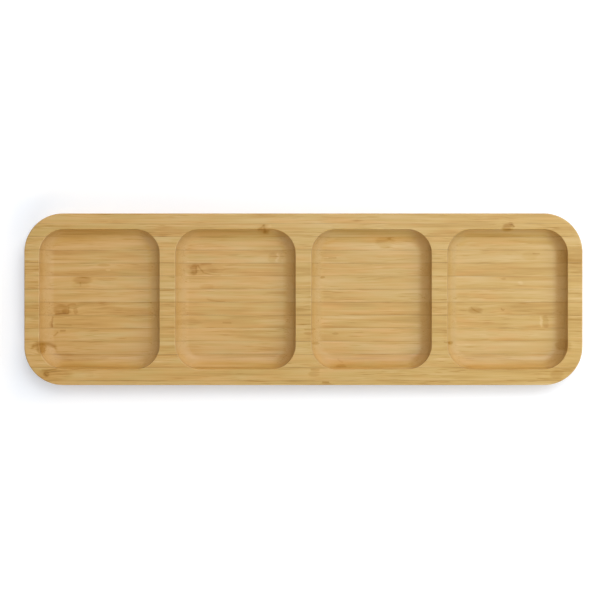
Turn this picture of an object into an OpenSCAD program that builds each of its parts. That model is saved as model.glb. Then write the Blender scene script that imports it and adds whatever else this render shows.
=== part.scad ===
// Divided serving plate: bamboo strips set on edge, glued side by side into one board,
// then shaped outside and routed with a row of coved compartments.
// Millimetres. The grain runs along X, the strips are counted from the back edge (+Y)
// to the front edge, and Z = 0 is the flat underside.

/* [Plate] */
// Overall length, along the grain
plate_l = 390; // [320:1:460]
// Overall width, across the strips
plate_w = 120; // [100:1:150]
// Thickness of the board
plate_h = 18; // [16:0.5:24]
// Radius of the four outer corners, seen from above
corner_r = 27; // [20:0.5:34]
// Round-over along the upper outer edge
top_edge_r = 1; // [0.5:0.25:3]
// Round-over along the lower outer edge
foot_edge_r = 3; // [0.5:0.25:4]

/* [Compartments] */
// Number of compartments in the row
pocket_count = 4; // [2:1:5]
// Depth of a compartment below the rim
pocket_depth = 10; // [7:0.5:12]
// Radius of a compartment's corners, seen from above
pocket_corner_r = 17; // [12:0.5:22]
// Radius of the cove between wall and floor
cove_r = 9; // [4:0.5:10]
// Round-over along a compartment's rim
rim_edge_r = 0.5; // [0.3:0.1:1.5]
// Width of the rim at each end of the plate
end_rim_w = 10.6; // [7:0.1:16]
// Width of the rim along each side of the plate
side_rim_w = 11.2; // [8:0.1:16]
// Width of the divider between two compartments
divider_w = 11.2; // [7:0.1:16]

/* [Strips] */
// Thickness of one whole strip, across the plate
strip_t = 9; // [6:0.25:12]
// Thickness left on the back strip after the board is trimmed to width
back_strip_t = 7; // [3:0.25:9]
// Thickness of a cured glue line
glue_t = 0.15; // [0.05:0.05:0.3]

/* [Hidden] */
$fn = 64;

// How far a cutter or a saw slab runs past what it cuts
over = 1;
// Least straight wall kept between a compartment's rim and its cove
land = 0.1;
// Least flat kept at the middle of a compartment's corner, and how far two stretches
// of one cut lap there
corner_land = 1;
// Lengths of compartments are whole multiples of this, so that half of one is a round number
length_step = 0.02;
// Least share of a whole strip that is kept along the front edge
front_share = 0.2;

strip_pitch = strip_t + glue_t;
strip_count = 1 + ceil((plate_w - back_strip_t) / strip_pitch - front_share);
glue_count = strip_count - 1;

floor_h = plate_h - pocket_depth;
cut_top = plate_h + over;
row_l = plate_l - 2 * end_rim_w - (pocket_count - 1) * divider_w;
pocket_l = length_step * round(row_l / pocket_count / length_step);
pocket_w = plate_w - 2 * side_rim_w;
pocket_pitch = pocket_l + divider_w;
cove = min(cove_r, pocket_depth - rim_edge_r - land, pocket_corner_r - corner_land);

// Tones of bamboo that the strips take in turn, and the glue between them
bamboo_tones = ["#cfa768", "#d3ad70", "#c99f60", "#d1aa6c", "#d6b177"];
glue_tone = "#8d6a38";

// Names of the pieces, numbered with two digits
function two_digits(i) = str(i < 10 ? "0" : "", i);
function strip_name(i) = str("bamboo_strip_", two_digits(i));
function glue_name(i) = str("glue_line_", two_digits(i));

// Y of a strip's back face and of its front face
function strip_back(i) = plate_w / 2 - (i == 1 ? 0 : back_strip_t + glue_t + (i - 2) * strip_pitch);
function strip_front(i) = i == strip_count ? -plate_w / 2 : strip_back(i + 1) + glue_t;

// The waste outside a quarter round of radius r, whose square corner is at the origin
// and whose centre lies at [-r, -r]
module round_over_waste(r) {
    difference() {
        translate([-r, -r]) square(r + over);
        translate([-r, -r]) circle(r);
    }
}

// Section of the blank from the centre of a corner out to the edge
module blank_profile() {
    difference() {
        square([corner_r, plate_h]);
        translate([corner_r, plate_h]) round_over_waste(top_edge_r);
        translate([corner_r, 0]) mirror([0, 1]) round_over_waste(foot_edge_r);
    }
}

// Section of the router's cut from the centre of a corner out to the rim:
// flat floor, cove, straight wall, then the rim's round-over flaring outwards
module pocket_profile() {
    wall_foot = floor_h + cove;
    translate([0, floor_h]) square([pocket_corner_r - cove, cut_top - floor_h]);
    translate([0, wall_foot]) square([pocket_corner_r, cut_top - wall_foot]);
    intersection() {
        translate([pocket_corner_r - cove, wall_foot]) circle(cove);
        translate([0, floor_h]) square([pocket_corner_r, cove]);
    }
    difference() {
        translate([0, plate_h - rim_edge_r]) square([pocket_corner_r + rim_edge_r, rim_edge_r + over]);
        translate([pocket_corner_r + rim_edge_r, plate_h - rim_edge_r]) circle(rim_edge_r);
    }
}

// A section drawn outwards from a corner's centre, set at both ends of a straight middle
// that is 2 * half long, reaches from z_low to z_high and laps into both ends
module whole_section(half, z_low, z_high) {
    middle = 2 * (half + corner_land);
    translate([-middle / 2, z_low]) square([middle, z_high - z_low]);
    translate([half, 0]) children();
    mirror([1, 0]) translate([half, 0]) children();
}

// Carries a section round a rectangle l by w with corners of radius r, filled between z_low
// and z_high. Only the stretches that reach between y_front and y_back are made.
module carried_round(l, w, r, z_low, z_high, y_front, y_back) {
    half_l = l / 2 - r;
    half_w = w / 2 - r;
    if (y_front < half_w && y_back > -half_w)
        rotate([90, 0, 0]) linear_extrude(2 * half_w, center = true)
            whole_section(half_l, z_low, z_high) children();
    for (side = [1, -1])
        if ((side == 1 ? y_back : -y_front) > half_w)
            rotate([0, 0, side == 1 ? 0 : 180]) translate([0, half_w, 0]) {
                rotate([90, 0, 90]) linear_extrude(2 * half_l, center = true) {
                    children();
                    translate([-corner_land, z_low]) square([2 * corner_land, z_high - z_low]);
                }
                translate([half_l, 0, 0]) rotate_extrude(angle = 90) children();
                translate([-half_l, 0, 0]) rotate([0, 0, 90]) rotate_extrude(angle = 90) children();
            }
}

// The shaped and routed board between two planes across Y: the blank to its outline,
// less what the router takes out for each compartment
module board_between(y_front, y_back) {
    intersection() {
        translate([-plate_l / 2 - over, y_front, -over])
            cube([plate_l + 2 * over, y_back - y_front, plate_h + 2 * over]);
        difference() {
            carried_round(plate_l, plate_w, corner_r, 0, plate_h, y_front, y_back)
                blank_profile();
            for (k = [0:pocket_count - 1])
                translate([(k - (pocket_count - 1) / 2) * pocket_pitch, 0, 0])
                    carried_round(pocket_l, pocket_w, pocket_corner_r, floor_h, cut_top,
                                  y_front, y_back)
                        pocket_profile();
        }
    }
}

// Strip i of the board, counted from the back edge
module bamboo_strip(i) {
    color(bamboo_tones[i % len(bamboo_tones)]) board_between(strip_front(i), strip_back(i));
}

// Glue between strip i and the next one
module glue_line(i) {
    color(glue_tone) board_between(strip_back(i + 1), strip_front(i));
}

for (i = [1:strip_count]) bamboo_strip(i);
for (i = [1:glue_count]) glue_line(i);
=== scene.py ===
import bpy
from collections import namedtuple
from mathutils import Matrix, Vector


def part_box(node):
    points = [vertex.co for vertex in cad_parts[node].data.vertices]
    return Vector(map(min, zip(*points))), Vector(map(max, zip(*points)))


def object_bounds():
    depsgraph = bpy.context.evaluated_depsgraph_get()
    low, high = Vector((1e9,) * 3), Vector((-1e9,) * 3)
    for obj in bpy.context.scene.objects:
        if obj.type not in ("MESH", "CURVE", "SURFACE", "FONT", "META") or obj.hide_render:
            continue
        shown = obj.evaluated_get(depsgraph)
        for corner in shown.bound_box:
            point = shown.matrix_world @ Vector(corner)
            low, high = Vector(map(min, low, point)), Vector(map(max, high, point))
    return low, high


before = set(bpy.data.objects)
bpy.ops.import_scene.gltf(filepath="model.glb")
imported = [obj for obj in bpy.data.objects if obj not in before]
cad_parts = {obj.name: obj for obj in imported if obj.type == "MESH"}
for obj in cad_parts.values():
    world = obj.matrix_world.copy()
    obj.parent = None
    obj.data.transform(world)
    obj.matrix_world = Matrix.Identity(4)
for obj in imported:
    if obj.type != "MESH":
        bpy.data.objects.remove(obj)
cad_box = [list(corner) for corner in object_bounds()]


# Bamboo strips
# Fourteen strips sawn from the wall of bamboo culms stand on edge, glued side by side, planed, routed
# and oiled. The fibres run along X. Most faces show them as streaks. Walls that cut them are more even.

# The numbers of a Mix node's sockets for colours
MIX_FACTOR = 0
MIX_FIRST = 6
MIX_SECOND = 7
MIX_RESULT = 2


class Shade:
    """A socket in a node tree. An operator on it adds a Math node."""

    def __init__(self, tree, socket=None):
        self.tree = tree
        self.socket = socket

    def node(self, kind, sockets, output=0, stops=None, **settings):
        """Adds a node of a type. Its settings and a ramp's stops are set first, then the values or
        links of its sockets."""
        made = self.tree.nodes.new(kind)
        for name, value in settings.items():
            setattr(made, name, value)
        if stops:
            ramp = made.color_ramp.elements
            while len(ramp) < len(stops):
                ramp.new(1.0)
            for element, (position, colour) in zip(ramp, stops):
                element.position = position
                element.color = colour
        for name, value in sockets.items():
            if isinstance(value, Shade):
                value.feed(made, name)
            else:
                made.inputs[name].default_value = value
        return Shade(self.tree, made.outputs[output])

    def feed(self, node, name):
        """Links this socket to an input of a node."""
        self.tree.links.new(self.socket, node.inputs[name])

    def output(self, name):
        """Another output of the node that this socket belongs to."""
        return Shade(self.tree, self.socket.node.outputs[name])

    def math(self, operation, *others):
        return self.node("ShaderNodeMath", dict(enumerate((self, *others))), operation=operation)

    def reflected(self, operation, first):
        return self.node("ShaderNodeMath", {0: first, 1: self}, operation=operation)

    def __add__(self, other):
        return self.math("ADD", other)

    def __sub__(self, other):
        return self.math("SUBTRACT", other)

    def __mul__(self, other):
        return self.math("MULTIPLY", other)

    def __truediv__(self, other):
        return self.math("DIVIDE", other)

    def __radd__(self, other):
        return self.reflected("ADD", other)

    def __rsub__(self, other):
        return self.reflected("SUBTRACT", other)

    def __rmul__(self, other):
        return self.reflected("MULTIPLY", other)

    def __rtruediv__(self, other):
        return self.reflected("DIVIDE", other)

    def __abs__(self):
        return self.math("ABSOLUTE")

    def rise(self, low, high):
        """A smooth step from 0 at low to 1 at high."""
        return self.node("ShaderNodeMapRange", {"Value": self, "From Min": low, "From Max": high},
                         interpolation_type="SMOOTHSTEP")

    def bell(self, half_width):
        """A bell curve over the value, 1 at zero and 1/e at half_width."""
        scaled = self / half_width
        return (scaled * scaled * -1.0).math("EXPONENT")

    def between(self, first, second):
        """A value that goes evenly from first, where this one is 0, to second, where it is 1."""
        return first + self * (second - first)

    def mix(self, first, second):
        """A colour that goes from first, where this value is 0, to second, where it is 1."""
        return self.node("ShaderNodeMix", {MIX_FACTOR: self, MIX_FIRST: first, MIX_SECOND: second},
                         MIX_RESULT, data_type="RGBA")

    def tinted(self, tint, share=1.0):
        """This colour, multiplied by a tint as far as share goes from 0 to 1."""
        return self.node("ShaderNodeMix", {MIX_FACTOR: share, MIX_FIRST: self, MIX_SECOND: tint},
                         MIX_RESULT, data_type="RGBA", blend_type="MULTIPLY")


# Colours of the wood from a knot's scar to the palest straw, by how pale the spot is
WOOD_TONES = [(0.00, (0.165, 0.060, 0.006, 1)),
              (0.25, (0.398, 0.195, 0.025, 1)),
              (0.50, (0.570, 0.352, 0.106, 1)),
              (0.75, (0.675, 0.470, 0.218, 1)),
              (1.00, (0.770, 0.600, 0.340, 1))]

# Tints of the wood: redder or greener from place to place, cooler where a wall cuts the fibres, partly a
# painted sheen, and browner where painted shade falls on walls
REDDISH = (1.025, 0.955, 0.87, 1)
GREENISH = (0.98, 1.02, 1.00, 1)
END_GRAIN_AND_SHEEN_TINT = (0.957, 0.99, 1.17, 1)
WALL_SHADE_TINT = (0.95, 0.84, 0.72, 1)

# A knot: its place along the strip and from the strip's back face, its length and width, all in mm,
# and how dark it is (below 0: a pale spot)
Knot = namedtuple("Knot", "along across long wide dark")

# A scar where a side shoot or a crack healed: a line from one place to another on the strip, how far
# its middle bows towards the strip's front face, and its thickness, all in mm, and how dark it is
Scar = namedtuple("Scar", "along across to_along to_across bow thick dark")

# A strip's paleness, its redness, how dark the joint in front of it is stained, and its marks
Strip = namedtuple("Strip", "pale red joint marks")

# The strips from the back of the plate to the front
STRIPS = [
    Strip(0.03, 0.6, 0.25, [
        Knot(144.6, 6.8, 3.6, 2.0, 0.13)]),
    Strip(-0.02, 0.5, 0.5, [
        Knot(45.0, 4.5, 100, 18, -0.08), Knot(-27.5, 4.0, 11, 9, 0.06),
        Scar(-31.8, 4.6, -27.2, 0.8, 0.3, 1.2, 0.15), Scar(-27.6, 0.6, -26.8, 6.6, 0.0, 1.6, 0.14),
        Scar(-29.8, 4.4, -23.6, 4.8, 0.3, 1.5, 0.13), Knot(-26.4, 6.0, 4.6, 2.6, 0.09),
        Knot(-23.6, 2.0, 3, 2.6, -0.08), Knot(142.8, 2.4, 8.8, 6.4, 0.20),
        Knot(144.6, 0.2, 3.4, 2.6, 0.09), Scar(145.0, 0.2, 147.2, 2.8, -0.3, 1.0, 0.13),
        Knot(143.2, 4.4, 9.5, 1.8, 0.10), Knot(145.5, 2.8, 1.3, 3.2, -0.08)]),
    Strip(0.03, 0.5, 0.6, [
        Knot(-30.0, 4.5, 60, 16, -0.05), Knot(57.6, 3.3, 15, 10, 0.10),
        Knot(60.8, 0.8, 3, 2, 0.12), Scar(54.0, 7.3, 60.8, 7.2, 0.2, 1.0, 0.10)]),
    Strip(0.01, 0.4, 0.6, [
        Knot(-21.8, 5.1, 7, 8, 0.09), Knot(-18.2, 5.1, 1.8, 8, -0.08),
        Knot(-15.6, 5.4, 3, 7, 0.06), Scar(17.6, 5.4, 23.4, 5.4, 0.0, 0.8, 0.15),
        Knot(159.3, 4.1, 12, 7, 0.06), Scar(161.4, 2.2, 166.8, 2.4, 0.0, 0.8, 0.15),
        Knot(190.5, 4.5, 26, 30, 0.12)]),
    Strip(-0.03, 0.5, 0.5, [
        Knot(-77.0, 4.6, 5.5, 10, 0.12), Knot(-78.6, 7.8, 6, 3, 0.09),
        Scar(-75.4, 1.6, -75.6, 8.4, 0.0, 0.9, 0.10), Scar(-74.6, 0.8, -69.8, 7.2, 0.4, 0.9, 0.15),
        Scar(-69.8, 7.2, -58.0, 8.8, 0.5, 0.9, 0.14), Scar(-72.4, 0.5, -64.6, 0.5, 0.0, 0.9, 0.12),
        Knot(-62.0, 4.0, 14, 7, 0.05), Knot(-72.0, 4.5, 24, 10, 0.09),
        Knot(-141.0, 1.6, 10, 2.6, 0.11), Knot(-137.3, 4.8, 4, 1.6, -0.10)]),
    Strip(0.02, 0.5, 0.7, [
        Scar(-162.6, 1.0, -148.8, 1.2, 0.1, 1.2, 0.02), Knot(-155.6, 3.0, 15, 5.6, 0.14),
        Scar(-157.2, 4.2, -157.0, 7.4, 0.0, 0.9, 0.09), Knot(-156.8, 6.6, 14, 6, 0.07),
        Knot(-68.0, 7.4, 11, 4, 0.08), Knot(13.3, 0.7, 4, 2, 0.18),
        Knot(141.0, 1.7, 4, 2, 0.10), Knot(153.4, 4.8, 4, 3, -0.10)]),
    Strip(0.03, 0.4, 0.7, [
        Scar(-68.0, 6.6, -55.0, 8.7, 0.6, 0.9, 0.12)]),
    Strip(-0.04, 0.5, 0.6, [
        Knot(-170.6, 5.0, 12, 7.5, 0.13), Knot(-167.0, 6.6, 7, 4, 0.12),
        Scar(-175.0, 8.2, -165.2, 8.1, 0.1, 1.0, 0.20), Scar(-165.6, 8.2, -165.2, 3.2, 0.0, 0.8, 0.10),
        Scar(-166.2, 2.4, -160.0, 1.4, -0.6, 1.0, 0.12), Knot(-160.2, 6.2, 3.4, 5.5, 0.12),
        Knot(121.0, 5.6, 11, 6, 0.11), Scar(118.0, 3.4, 126.0, 7.8, 0.8, 1.0, 0.10),
        Scar(139.2, 4.4, 141.6, 5.6, 0.6, 1.0, 0.16)]),
    Strip(-0.02, 0.5, 0.5, [
        Scar(-176.4, 0.6, -176.8, 8.8, 0.3, 1.0, 0.18), Knot(-177.6, 6.2, 3, 5, 0.10),
        Scar(-175.0, 6.0, -163.0, 6.9, 0.0, 0.8, 0.12), Knot(-82.0, 5.0, 22, 5, 0.06),
        Scar(-57.0, 5.0, -50.5, 5.1, 0.0, 0.8, 0.13), Knot(167.4, 4.6, 1.8, 9, -0.12),
        Knot(170.6, 4.6, 4.5, 12, 0.10)]),
    Strip(0.01, 0.5, 0.4, [
        Scar(-176.2, 5.6, -172.8, 2.2, 0.4, 1.0, 0.17), Scar(-171.4, 1.6, -167.4, 1.5, 0.0, 1.1, 0.17),
        Scar(0.6, 0.7, 8.6, 0.8, 0.0, 0.8, 0.16), Knot(3.6, 3.4, 7, 2.6, 0.12),
        Knot(22.6, 3.6, 5, 1.8, 0.10), Knot(182.2, 8.6, 8, 3, 0.08)]),
    Strip(0.04, 0.5, 0.4, [
        Scar(-190.2, 4.4, -173.6, 5.6, -3.6, 2.8, 0.26), Knot(-183.6, 4.8, 7, 8, 0.13),
        Knot(-183.6, 6.4, 5.4, 6.5, 0.13), Knot(8.6, 1.2, 6, 2.6, 0.15),
        Knot(103.3, 0.9, 5, 2.8, 0.19), Scar(98.0, 0.3, 103.0, 0.8, 0.0, 0.9, 0.14),
        Knot(182.0, 3.0, 11, 8.0, 0.14)]),
    Strip(0.01, 0.6, 0.5, [
        Knot(45.0, 4.5, 70, 18, 0.04), Scar(24.0, 3.0, 28.0, 5.6, 0.5, 1.0, 0.08),
        Knot(26.4, 8.4, 8, 3.6, 0.12)]),
    Strip(-0.02, 0.5, 0.5, [
        Knot(45.0, 4.5, 130, 18, -0.06), Scar(-183.0, 1.4, -172.0, 1.4, 0.3, 1.1, 0.15),
        Knot(-174.0, 5.0, 28, 9, 0.12), Knot(-179.4, 4.7, 5, 5, 0.13),
        Scar(-180.8, 3.4, -178.4, 6.2, 0.5, 1.0, 0.14), Scar(5.0, 1.6, 11.4, 1.7, 0.0, 1.0, 0.18),
        Knot(7.6, 4.2, 9, 4, 0.10), Knot(177.0, 4.6, 10, 7, 0.10)]),
    Strip(0.03, 0.4, 0.0, [
        Scar(13.0, 0.8, 18.0, 0.9, 0.0, 1.0, 0.20), Knot(16.0, 1.8, 7, 2.4, 0.10)]),
]

# A layer of the grain is noise in cells that are drawn out along the fibres: their length and width
# in mm, the noise's detail, and what the layer adds to the strip's number to make its seed
Layer = namedtuple("Layer", "long wide detail seed")

SWAY = Layer(120, 40, 0.0, 0.1)
BROAD = Layer(60, 5.0, 2.0, 0.2)
RIBBON = Layer(80, 1.7, 2.0, 0.3)
THREAD = Layer(26, 0.55, 2.0, 0.4)
PATCH = Layer(35, 7.0, 2.0, 0.5)
STAIN = Layer(22, 60, 2.0, 0.6)
HUE = Layer(30, 6.0, 2.0, 0.7)
DARK_FLECK = Layer(11, 0.5, 0.0, 0.8)
PALE_FLECK = Layer(12, 0.6, 0.0, 0.9)

# Cells along X, Y and Z by which one step of the seed shifts a layer
SEED_SHIFT = (7.3, 3.1, 5.7)

# Length and width in mm of the cells that hold one vessel each
VESSEL_LONG = 40
VESSEL_WIDE = 0.9

# The middle of what goes from 0 to 1, such as noise, a strip's redness and a joint's darkness
MIDDLE = 0.5


def stretched(place, long, wide, shift):
    """Places counted in cells of that length along the fibres and that width across them."""
    return place.node("ShaderNodeVectorMath", {0: place, 1: (1 / long, 1 / wide, 1 / wide), 2: shift},
                      operation="MULTIPLY_ADD")


def along_grain(place, layer, number):
    """A layer's noise on the strip or joint of that number."""
    seed = number + layer.seed
    cells = stretched(place, layer.long, layer.wide, [seed * shift for shift in SEED_SHIFT])
    return place.node("ShaderNodeTexNoise", {"Vector": cells, "Scale": 1.0, "Detail": layer.detail})


# Where a knot starts to fade and where it ends: squares of the distance from its middle, counted in
# its half length and half width
KNOT_FADES = (0.35, 1.25)

# Where a scar's ends fade, in lengths from its middle, and half the width of its bell in thicknesses
SCAR_FADES = (0.40, 0.56)
SCAR_BELL = 0.6


def knot_mark(knot, x, across):
    """A soft oval patch drawn out along the fibres."""
    along = (x - knot.along) / (knot.long / 2)
    aside = (across - knot.across) / (knot.wide / 2)
    return (1.0 - (along * along + aside * aside).rise(*KNOT_FADES)) * knot.dark


def scar_mark(scar, x, across):
    """A thin line: a bell over the distance from a bowed chord, faded out at both its ends."""
    run = scar.to_along - scar.along
    fall = scar.to_across - scar.across
    length = (run * run + fall * fall) ** 0.5
    dx = x - scar.along
    dy = across - scar.across
    share = (dx * run + dy * fall) / (length * length)
    bowed = share * (1.0 - share) * (4 * scar.bow)
    aside = (dy * run - dx * fall) / length - bowed
    ends = 1.0 - abs(share - MIDDLE).rise(*SCAR_FADES)
    return aside.bell(scar.thick * SCAR_BELL) * ends * scar.dark


def new_material(name):
    """A material, its shader and its Object coordinates."""
    material = bpy.data.materials.new(name)
    material.use_nodes = True
    shader = material.node_tree.nodes["Principled BSDF"]
    coordinates = Shade(material.node_tree).node("ShaderNodeTexCoord", {}, "Object")
    return material, shader, coordinates


# Millimetres in a metre
MM = 1000.0


def in_mm(coordinates):
    return coordinates.node("ShaderNodeVectorMath", {0: coordinates, "Scale": MM}, operation="SCALE")


# Heights in mm where the walls turn into the rims, and where the rim's edge gets a painted highlight
RIM_HEIGHTS = (15.5, 17.5)
EDGE_HIGHLIGHT_HEIGHTS = (17.75, 17.85)

# How far in mm the fibres sway, and how far a knot darker than the limit bends them towards the nearer
# side of its strip
SWAY_WIDTH = 1.6
KNOT_BEND = 0.9
KNOT_BENDS_FROM = 0.1
STRIP_MIDDLE = 4.5

# Values of the noise, and distances from a vessel's middle in cells, between which flecks, streaky
# patches, vessels and stains come in
DARK_FLECK_EDGE = (0.60, 0.78)
PALE_FLECK_EDGE = (0.62, 0.80)
STREAKY_EDGE = (0.38, 0.62)
VESSEL_EDGE = (0.10, 0.32)
VESSEL_PATCH_EDGE = (0.40, 0.62)
STAIN_EDGE = (0.40, 0.60)

# How far in mm a joint's stain goes into the wood
STAIN_REACH = (0.0, 0.8)

# Parts of a wall's normal between which it turns into end grain, a painted edge highlight or a front
# wall
END_GRAIN_FACING = (0.0, 0.45)
EDGE_HIGHLIGHT_FACING = (0.2, 0.5)
FRONT_WALL_FACING = (0.0, 0.35)

# Paleness on the floors and on the rims, where the floors' extra paleness is painted light against the
# walls' shade, what each mm towards the right adds to it as a painted gradient of light, and how much
# the layers of the grain and the stains change it there
PALENESS = (0.53, 0.50)
PAINTED_LIGHT_PER_MM = (0.00003, -0.00009)
BROAD_SHOWS = (0.52, 0.40)
RIBBON_SHOWS = (0.21, 0.29)
THREAD_SHOWS = (1.0, 2.0)
FLECK_SHOWS = (1.0, 1.3)
STAIN_SHOWS = (0.09, 0.19)

# How much threads and flecks show in plain patches and in streaky ones, and the figure of the wood on
# faces along the fibres and on end grain
THREAD_IN_PATCH = (0.055, 0.225)
FLECK_IN_PATCH = (0.15, 1.0)
FIGURE = (1.0, 0.3)

# How much one vessel, fleck or painted edge highlight changes the paleness
VESSEL_DARK = 0.07
DARK_FLECK_DARK = 0.13
PALE_FLECK_PALE = 0.08
EDGE_HIGHLIGHT_PALE = 0.17

# How far in mm the grain frays a mark along and across the strip
KNOT_FRAYS = 3.0
SCAR_FRAYS = 0.8
MARK_FRAYS_ACROSS = 1.2

# What makes the wood redder or greener: its strip, each mm towards the right, which greens it as a
# painted sheen, and the rim. Then the values between which green turns into red.
RED_BY_STRIP = 0.5
PAINTED_SHEEN_PER_MM = 0.0008
GREENER_RIM = 0.10
HUE_EDGE = (0.3, 0.7)

# Painted shade browns the walls that face left, and the front walls by a share of that, more and more
# between two places along X in mm. Front walls are found by how far they are in front of the middle.
WALL_SHADE_ALONG = (-190.0, 120.0)
FRONT_WALL_SHARE = 0.4
FRONT_WALL_REACH = (0.0, 20.0)

# Roughness of the oiled wood, and what paleness, vessels and end grain change in it
ROUGHNESS = 0.45
PALE_SMOOTHER = 0.06
VESSEL_ROUGHER = 0.10
END_GRAIN_ROUGHER = 0.10

# The relief that sanding leaves: what stands up and what sinks in, its strength, and its depth in metres
THREAD_STANDS = 0.6
RIBBON_STANDS = 0.4
VESSEL_SINKS = 0.5
FLECK_SINKS = 0.4
RELIEF_STRENGTH = 0.25
RELIEF_DEPTH = 0.00008


def bamboo(name, strip, back, front, joint_behind, number):
    """Oiled bamboo between two Y planes in mm: ribbons, threads, flecks and vessels along the grain,
    stained joints, knots and scars, even end grain, painted edge highlights and painted shade on walls."""
    material, shader, coordinates = new_material(name)
    place = in_mm(coordinates)
    x = place.node("ShaderNodeSeparateXYZ", {0: place})
    y = x.output("Y")
    z = x.output("Z")
    across = back - y
    on_rim = z.rise(*RIM_HEIGHTS)
    facing = coordinates.node("ShaderNodeSeparateXYZ", {0: coordinates.output("Normal")})
    end_grain = abs(facing).rise(*END_GRAIN_FACING)
    figure = end_grain.between(*FIGURE)

    sway = along_grain(place, SWAY, number) * SWAY_WIDTH
    for mark in strip.marks:
        if isinstance(mark, Knot) and mark.dark > KNOT_BENDS_FROM:
            bend = KNOT_BEND if mark.across > STRIP_MIDDLE else -KNOT_BEND
            sway = sway + (x - mark.along).bell(mark.long) * bend
    fibre = place.node("ShaderNodeCombineXYZ", {0: x, 1: y + sway, 2: z})

    broad = along_grain(fibre, BROAD, number)
    ribbon = along_grain(fibre, RIBBON, number)
    thread = along_grain(fibre, THREAD, number)
    patch = along_grain(fibre, PATCH, number)
    streaky = patch.rise(*STREAKY_EDGE)
    dark_fleck = along_grain(fibre, DARK_FLECK, number).rise(*DARK_FLECK_EDGE)
    pale_fleck = along_grain(fibre, PALE_FLECK, number).rise(*PALE_FLECK_EDGE)
    cells = stretched(fibre, VESSEL_LONG, VESSEL_WIDE, (number, number, number))
    from_vessel = cells.node("ShaderNodeTexVoronoi", {"Vector": cells, "Scale": 1.0})
    vessel = (1.0 - from_vessel.rise(*VESSEL_EDGE)) * patch.rise(*VESSEL_PATCH_EDGE)

    stain = along_grain(place, STAIN, number)
    at_back = 1.0 - across.rise(*STAIN_REACH)
    at_front = 1.0 - (y - front).rise(*STAIN_REACH)
    stain_behind = at_back * stain.rise(*STAIN_EDGE) * joint_behind
    stain_before = at_front * (1.0 - stain).rise(*STAIN_EDGE) * strip.joint

    # Floors painted paler than rims against the walls' shade, and a painted gradient of light along X
    pale = on_rim.between(*PALENESS) + strip.pale + x * on_rim.between(*PAINTED_LIGHT_PER_MM)
    streaks = (broad - MIDDLE) * on_rim.between(*BROAD_SHOWS)
    streaks = streaks + (ribbon - MIDDLE) * on_rim.between(*RIBBON_SHOWS)
    thread_shows = streaky.between(*THREAD_IN_PATCH) * on_rim.between(*THREAD_SHOWS)
    streaks = streaks + (thread - MIDDLE) * thread_shows
    pale = pale + streaks * figure - vessel * VESSEL_DARK
    fleck_shows = streaky.between(*FLECK_IN_PATCH) * on_rim.between(*FLECK_SHOWS)
    pale = pale - (dark_fleck * DARK_FLECK_DARK - pale_fleck * PALE_FLECK_PALE) * fleck_shows
    pale = pale - (stain_behind + stain_before) * on_rim.between(*STAIN_SHOWS)
    # A painted highlight on the rim's edges that face right
    pale = pale + facing.rise(*EDGE_HIGHLIGHT_FACING) * z.rise(*EDGE_HIGHLIGHT_HEIGHTS) * EDGE_HIGHLIGHT_PALE

    knot_x = x + (thread - MIDDLE) * KNOT_FRAYS + (ribbon - MIDDLE) * KNOT_FRAYS
    scar_x = x + (thread - MIDDLE) * SCAR_FRAYS
    mark_across = across + (broad - MIDDLE) * MARK_FRAYS_ACROSS + (patch - MIDDLE) * MARK_FRAYS_ACROSS
    for mark in strip.marks:
        if isinstance(mark, Knot):
            pale = pale - knot_mark(mark, knot_x, mark_across)
        else:
            pale = pale - scar_mark(mark, scar_x, mark_across)

    hue = MIDDLE + (along_grain(fibre, HUE, number) - MIDDLE) * figure
    # Less red towards the right: a painted sheen
    hue = hue + (strip.red - MIDDLE) * RED_BY_STRIP - x * PAINTED_SHEEN_PER_MM - on_rim * GREENER_RIM
    # Where the painted wall shade falls: walls that face left, and a share of it on front walls
    front_wall = facing.output("Y").rise(*FRONT_WALL_FACING) * (0.0 - y).rise(*FRONT_WALL_REACH)
    painted_wall_shade = (0.0 - facing).rise(*END_GRAIN_FACING) + front_wall * FRONT_WALL_SHARE
    colour = pale.node("ShaderNodeValToRGB", {0: pale}, stops=WOOD_TONES)
    colour = colour.tinted(hue.rise(*HUE_EDGE).mix(GREENISH, REDDISH))
    # End grain's cooler tint, which is partly a painted sheen on the walls
    colour = colour.tinted(END_GRAIN_AND_SHEEN_TINT, end_grain)
    # Painted shade on walls that face left and on front walls, deeper towards the right
    colour = colour.tinted(WALL_SHADE_TINT, painted_wall_shade * x.rise(*WALL_SHADE_ALONG))
    colour.feed(shader, "Base Color")

    roughness = ROUGHNESS - pale * PALE_SMOOTHER
    roughness = roughness + vessel * VESSEL_ROUGHER + end_grain * END_GRAIN_ROUGHER
    roughness.feed(shader, "Roughness")
    relief = thread * THREAD_STANDS + ribbon * RIBBON_STANDS
    relief = relief - vessel * VESSEL_SINKS - dark_fleck * FLECK_SINKS
    bump = relief.node("ShaderNodeBump", {"Height": relief, "Strength": RELIEF_STRENGTH,
                                          "Distance": RELIEF_DEPTH})
    bump.feed(shader, "Normal")
    return material


joint_behind = 0.0
for number, strip in enumerate(STRIPS, 1):
    node_name = f"bamboo_strip_{number:02d}"
    low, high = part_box(node_name)
    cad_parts[node_name].material_slots[0].material = bamboo(
        node_name, strip, high[1] * MM, low[1] * MM, joint_behind, number)
    joint_behind = strip.joint


# Glue lines
# A film of cured resin glue fills each joint between two strips, squeezed thin in the press and
# planed flush with the wood. It is brown, and pales where the film is thinnest.

GLUE_DARK = (0.17, 0.085, 0.026, 1)
GLUE_PALE = (0.50, 0.305, 0.10, 1)
GLUE_FILM = Layer(25, 8.0, 2.0, 40.5)

# Values of the film's noise between which it darkens, how much a joint's darkness shifts that noise,
# and the roughness where the glue is pale and where it is dark
GLUE_EDGE = (0.40, 0.66)
GLUE_BY_JOINT = 0.35
GLUE_ROUGHNESS = (0.5, 0.4)


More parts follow.
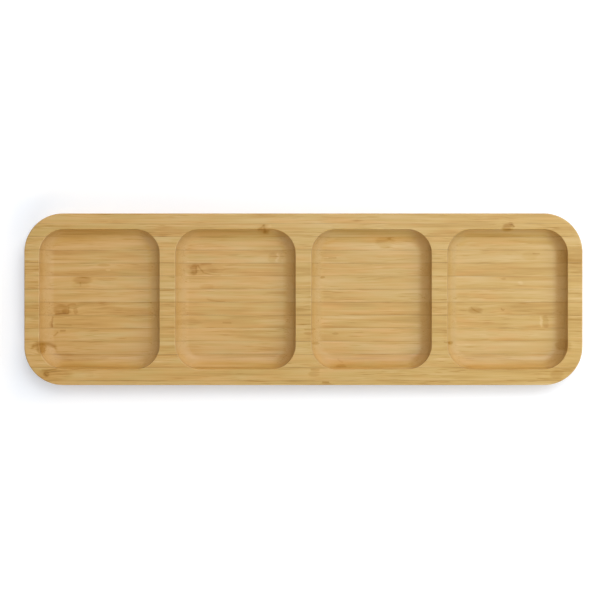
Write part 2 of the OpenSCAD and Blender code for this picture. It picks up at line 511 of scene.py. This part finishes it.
def glue(name, number, dark):
    """Brown resin whose darkness drifts along the joint."""
    material, shader, coordinates = new_material(name)
    film = along_grain(in_mm(coordinates), GLUE_FILM, number)
    shown = (film + (dark - MIDDLE) * GLUE_BY_JOINT).rise(*GLUE_EDGE)
    shown.mix(GLUE_PALE, GLUE_DARK).feed(shader, "Base Color")
    shown.between(*GLUE_ROUGHNESS).feed(shader, "Roughness")
    return material


for number, strip in enumerate(STRIPS[:-1], 1):
    node_name = f"glue_line_{number:02d}"
    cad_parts[node_name].material_slots[0].material = glue(node_name, number, strip.joint)


# Floor
# A plain white table under the plate, wide enough to fill every view, and a hair above the plate's
# underside, so the two never share a plane. Its glow is painted light: dimmer and cooler beside the
# plate, a painted shadow, and stronger far off.

FLOOR_SIZE = 12.0
FLOOR_LIFT = 0.00005
TABLE_WHITE = (0.82, 0.82, 0.82, 1)
TABLE_ROUGHNESS = 0.9

# The glow beside the plate, around it and far off, and the distances in metres between which one turns
# into the next
GLOW_BESIDE = (0.215, 0.248, 0.298, 1)
GLOW_AROUND = (0.327, 0.327, 0.327, 1)
GLOW_FAR = (1, 1, 1, 1)
BESIDE_TO_AROUND = (0.005, 0.024)
AROUND_TO_FAR = (0.15, 0.9)

bpy.ops.mesh.primitive_plane_add(size=FLOOR_SIZE, location=(0, 0, FLOOR_LIFT))
floor = bpy.context.object
floor.name = "white_table"
table, table_shader, table_place = new_material("white_table")
table_shader.inputs["Base Color"].default_value = TABLE_WHITE
table_shader.inputs["Roughness"].default_value = TABLE_ROUGHNESS
table_shader.inputs["Emission Strength"].default_value = 1.0
mirrored = table_place.node("ShaderNodeVectorMath", {0: table_place}, operation="ABSOLUTE")
beyond = mirrored.node("ShaderNodeVectorMath", {0: mirrored, 1: cad_box[1]}, operation="SUBTRACT")
beyond = beyond.node("ShaderNodeVectorMath", {0: beyond, 1: (0, 0, 0)}, operation="MAXIMUM")
from_plate = beyond.node("ShaderNodeVectorMath", {0: beyond}, "Value", operation="LENGTH")
glow = from_plate.rise(*BESIDE_TO_AROUND).mix(GLOW_BESIDE, GLOW_AROUND)
glow = from_plate.rise(*AROUND_TO_FAR).mix(glow, GLOW_FAR)
glow.feed(table_shader, "Emission Color")
floor.data.materials.append(table)


# Studio light
# The room is white, bright low down and faint above. Four large round softboxes stand two metres off,
# three behind the plate from high to low and one in front. A wide and a small one are near its ends.

WHITE = (1, 1, 1, 1)
WALL_LIGHT = 0.90
CEILING_LIGHT = 0.09

# Heights between which the walls turn into the ceiling, from 0 at the horizon to 1 overhead
WALL_TO_CEILING = (0.05, 0.25)

# A softbox: where it stands, its width and height, all in metres, its power in watts, and whether it
# leaves highlights. One that doesn't is filtered, as a polarised light is.
Softbox = namedtuple("Softbox", "name place wide high watts gloss")

SOFTBOXES = [
    Softbox("key_light", (0.50, 0.87, 1.73), 1.3, 1.3, 15.0, True),
    Softbox("high_light", (0.00, 0.52, 1.93), 1.3, 1.3, 9.4, True),
    Softbox("low_light", (0.98, 1.69, 0.42), 1.3, 1.3, 10.6, True),
    Softbox("front_light", (0.00, -1.73, 1.00), 1.3, 1.3, 11.9, False),
    Softbox("right_light", (0.53, -0.03, 0.40), 0.85, 0.35, 1.57, False),
    Softbox("left_light", (-0.61, 0.00, 0.35), 0.35, 0.35, 0.36, False),
]

room = bpy.data.worlds.new("white_room")
room.use_nodes = True
direction = Shade(room.node_tree).node("ShaderNodeTexCoord", {}, "Object")
height = direction.node("ShaderNodeSeparateXYZ", {0: direction}, "Z")
walls = height.node("ShaderNodeBackground", {"Color": WHITE, "Strength": WALL_LIGHT})
ceiling = height.node("ShaderNodeBackground", {"Color": WHITE, "Strength": CEILING_LIGHT})
around = height.node("ShaderNodeMixShader", {0: height.rise(*WALL_TO_CEILING), 1: walls, 2: ceiling})
around.feed(room.node_tree.nodes["World Output"], "Surface")
bpy.context.scene.world = room

for softbox in SOFTBOXES:
    light = bpy.data.lights.new(softbox.name, "AREA")
    light.shape = "ELLIPSE"
    light.size = softbox.wide
    light.size_y = softbox.high
    light.energy = softbox.watts
    lamp = bpy.data.objects.new(softbox.name, light)
    lamp.location = softbox.place
    lamp.rotation_euler = (-Vector(softbox.place)).to_track_quat("-Z", "Y").to_euler()
    lamp.visible_glossy = softbox.gloss
    bpy.context.scene.collection.objects.link(lamp)


# Camera
# It looks straight down from about a metre above the rim, a little to the left of the plate's middle.
# Lengths are in metres, and the sensor's width in mm.

CAMERA_HEIGHT = 1.1
VIEW_WIDTH = 0.4196
VIEW_CENTRE = (-0.00238, -0.00052, 0.016)
SENSOR_WIDTH = 36

camera_data = bpy.data.cameras.new("camera")
camera_data.sensor_width = SENSOR_WIDTH
camera_data.lens = SENSOR_WIDTH * CAMERA_HEIGHT / VIEW_WIDTH
camera = bpy.data.objects.new("camera", camera_data)
camera.location = Vector(VIEW_CENTRE) + Vector((0, 0, CAMERA_HEIGHT))
bpy.context.scene.collection.objects.link(camera)
bpy.context.scene.camera = camera
bpy.context.scene.view_settings.view_transform = "Standard"
